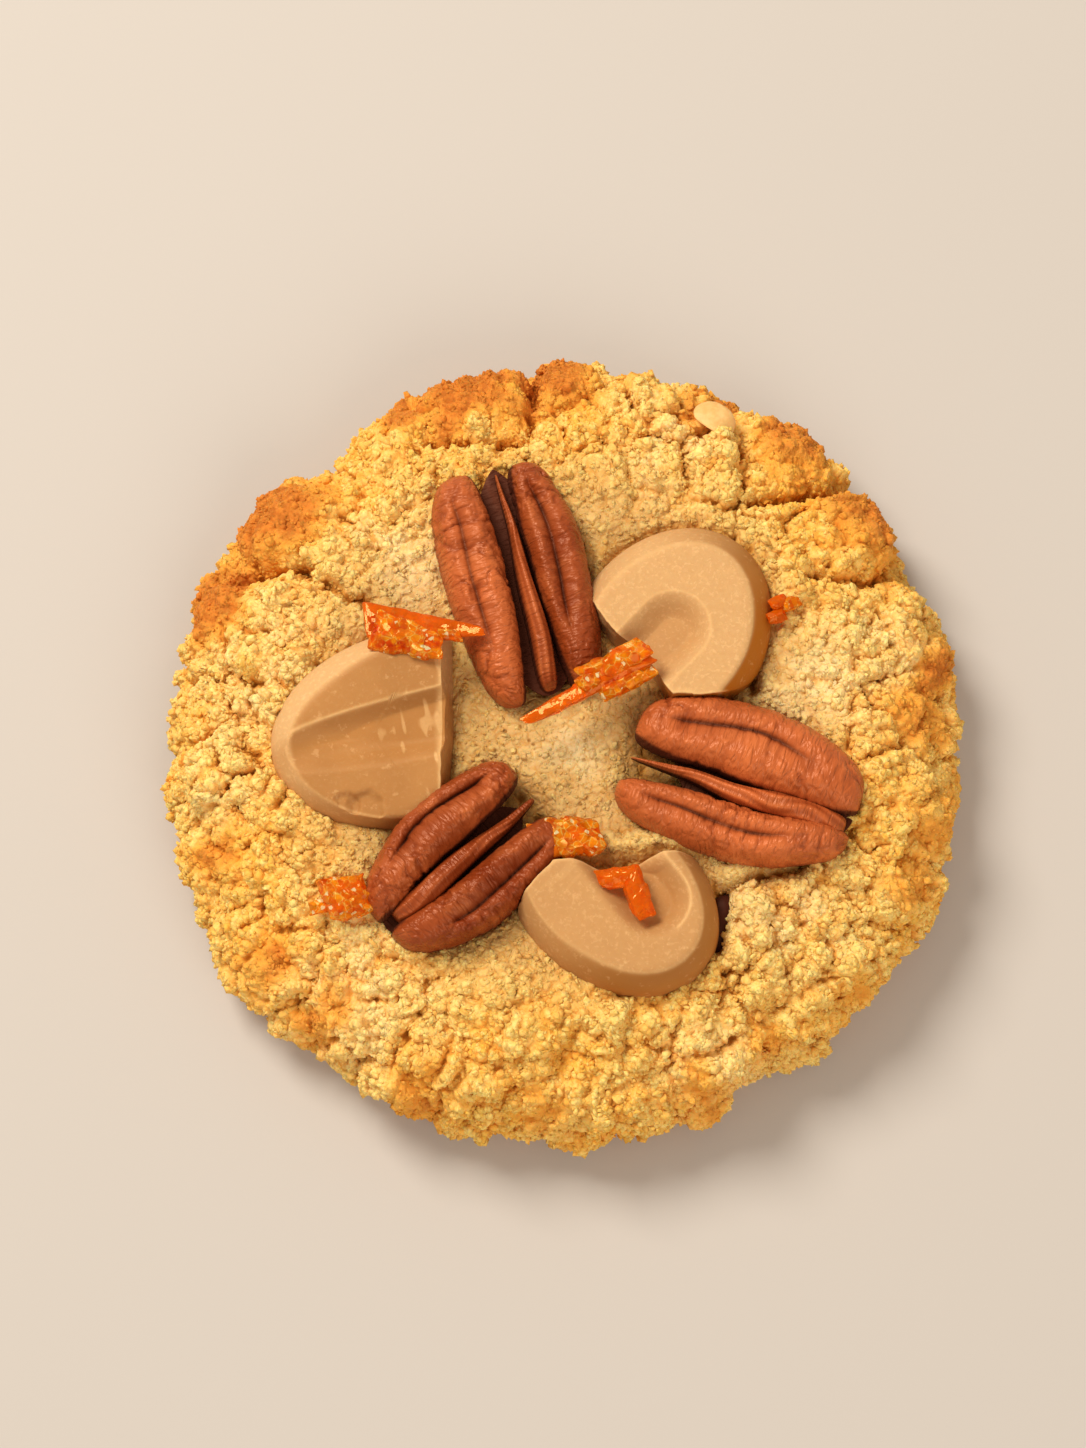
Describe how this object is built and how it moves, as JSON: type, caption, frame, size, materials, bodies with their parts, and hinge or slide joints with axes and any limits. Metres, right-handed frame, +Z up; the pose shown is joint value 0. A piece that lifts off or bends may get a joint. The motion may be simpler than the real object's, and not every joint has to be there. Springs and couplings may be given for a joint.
{
  "type": "chocolate and pecan cookie",
  "caption": "Thick round cookie of craggy golden dough, topped with pecan halves, broken caramel chocolate buttons and clear amber brittle splinters; lies flat as a snack.",
  "frame": {"origin": "middle of the flat base, on the surface that the cookie lies on", "axes": "+Z up through the topped side, +Y away from the viewer of the picture, +X to the viewer's right"},
  "size_m": [0.09, 0.0914, 0.0221],
  "materials": {
    "dough": "baked crumb, matte, browned at the rim",
    "pecan": "toasted nut skin, faint gloss",
    "chocolate": "satin caramel chocolate",
    "brittle": "clear amber hard caramel",
    "nut_flake": "pale raw nut",
    "dark_chunk": "dark chocolate, satin"
  },
  "bodies": {
    "root": {"dough": "dough", "pecan_top": "pecan", "pecan_right": "pecan", "pecan_left": "pecan", "chocolate_left": "chocolate", "chocolate_right": "chocolate", "chocolate_bottom": "chocolate", "brittle_wedge": "brittle", "brittle_long": "brittle", "brittle_crumb": "brittle", "brittle_crystal": "brittle", "brittle_bent": "brittle", "brittle_corner": "brittle", "nut_flake": "nut_flake", "dark_chunk": "dark_chunk"}
  },
  "joints": []
}
